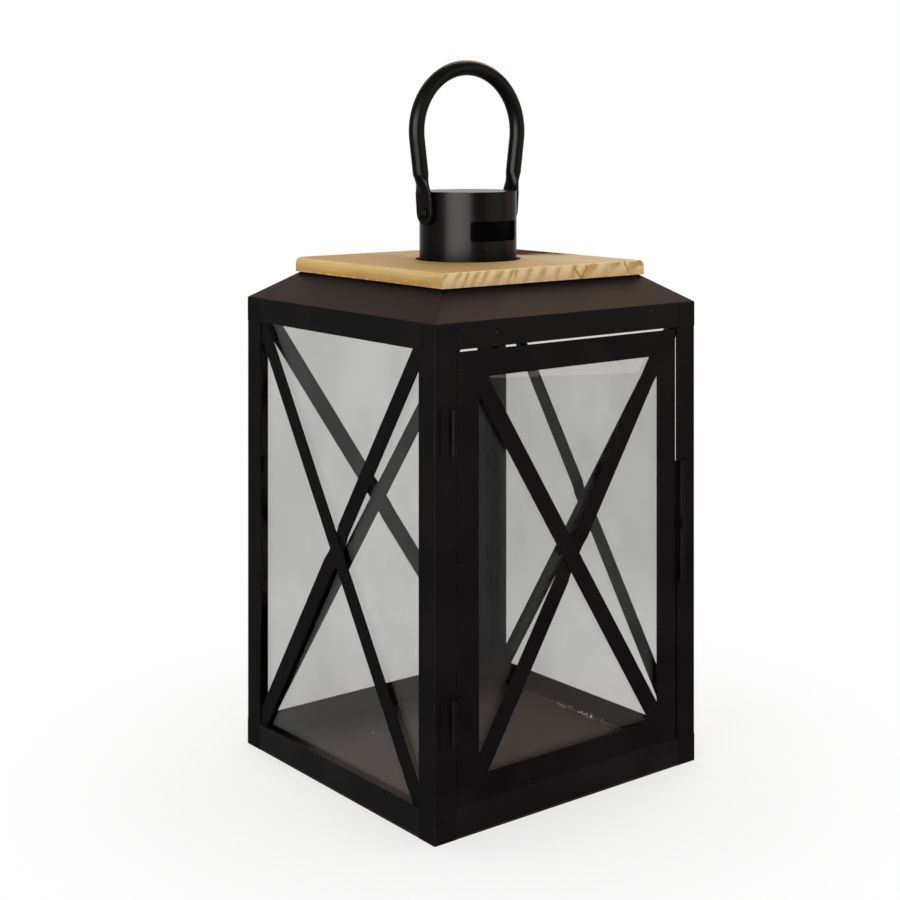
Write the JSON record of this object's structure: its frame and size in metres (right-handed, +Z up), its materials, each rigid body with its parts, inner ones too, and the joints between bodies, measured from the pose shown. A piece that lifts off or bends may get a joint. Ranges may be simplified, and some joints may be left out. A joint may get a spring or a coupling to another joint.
{
  "type": "candle lantern",
  "caption": "Square sheet-steel candle lantern with cross-braced glass sides, a hinged and latched glass door, a hipped hood, a pine top board, a vented chimney and a swinging tube handle.",
  "frame": {"origin": "middle of the base pan's underside, on the surface that the lantern stands on", "axes": "+Z up, the door faces -Y, the door's hinges are on the -X side and its latch on the +X side"},
  "size_m": [0.2, 0.2064, 0.434],
  "materials": {
    "black_paint": "fine matt black powder coat",
    "pine": "planed and sealed pine",
    "clear_glass": "clear float glass",
    "plain_steel": "plain drawn steel"
  },
  "bodies": {
    "lantern": {"base_pan": "black_paint", "chimney_lid": "black_paint", "chimney_tube": "black_paint", "door_stop": "black_paint", "handle_rivets": "black_paint", "latch_lower_eye": "black_paint", "latch_pin": "plain_steel", "latch_upper_eye": "black_paint", "left_brace_over": "black_paint", "left_brace_under": "black_paint", "left_pane": "clear_glass", "left_pane_tabs": "black_paint", "lower_hinge_pin": "plain_steel", "lower_hinge_post_leaf": "black_paint", "post_front_left": "black_paint", "post_front_right": "black_paint", "post_rear_left": "black_paint", "post_rear_right": "black_paint", "rear_brace_over": "black_paint", "rear_brace_under": "black_paint", "rear_pane": "clear_glass", "rear_pane_tabs": "black_paint", "right_brace_over": "black_paint", "right_brace_under": "black_paint", "right_pane": "clear_glass", "right_pane_tabs": "black_paint", "roof_hood": "black_paint", "upper_hinge_pin": "plain_steel", "upper_hinge_post_leaf": "black_paint", "wood_top": "pine", "wood_top_screws": "plain_steel"},
    "door": {"door_bottom_rail": "black_paint", "door_brace_over": "black_paint", "door_brace_under": "black_paint", "door_hinge_stile": "black_paint", "door_latch_stile": "black_paint", "door_pane": "clear_glass", "door_pane_tabs": "black_paint", "door_top_rail": "black_paint", "upper_hinge_door_leaf": "black_paint", "lower_hinge_door_leaf": "black_paint"},
    "latch": {"latch_tongue": "black_paint"},
    "handle": {"handle": "black_paint"}
  },
  "joints": [
    {"name": "door_swing", "type": "hinge", "parent": "lantern", "child": "door", "pos_m": [-0.0885, -0.1021, 0.145], "axis": [0, 0, -1], "range_deg": [0, 180]},
    {"name": "latch_turn", "type": "hinge", "parent": "lantern", "child": "latch", "pos_m": [0.0869, -0.1022, 0.1505], "axis": [0, 0, 1], "range_deg": [-65, 105]},
    {"name": "handle_swing", "type": "hinge", "parent": "lantern", "child": "handle", "pos_m": [0, 0, 0.339], "axis": [1, 0, 0], "range_deg": [-106, 106]}
  ]
}
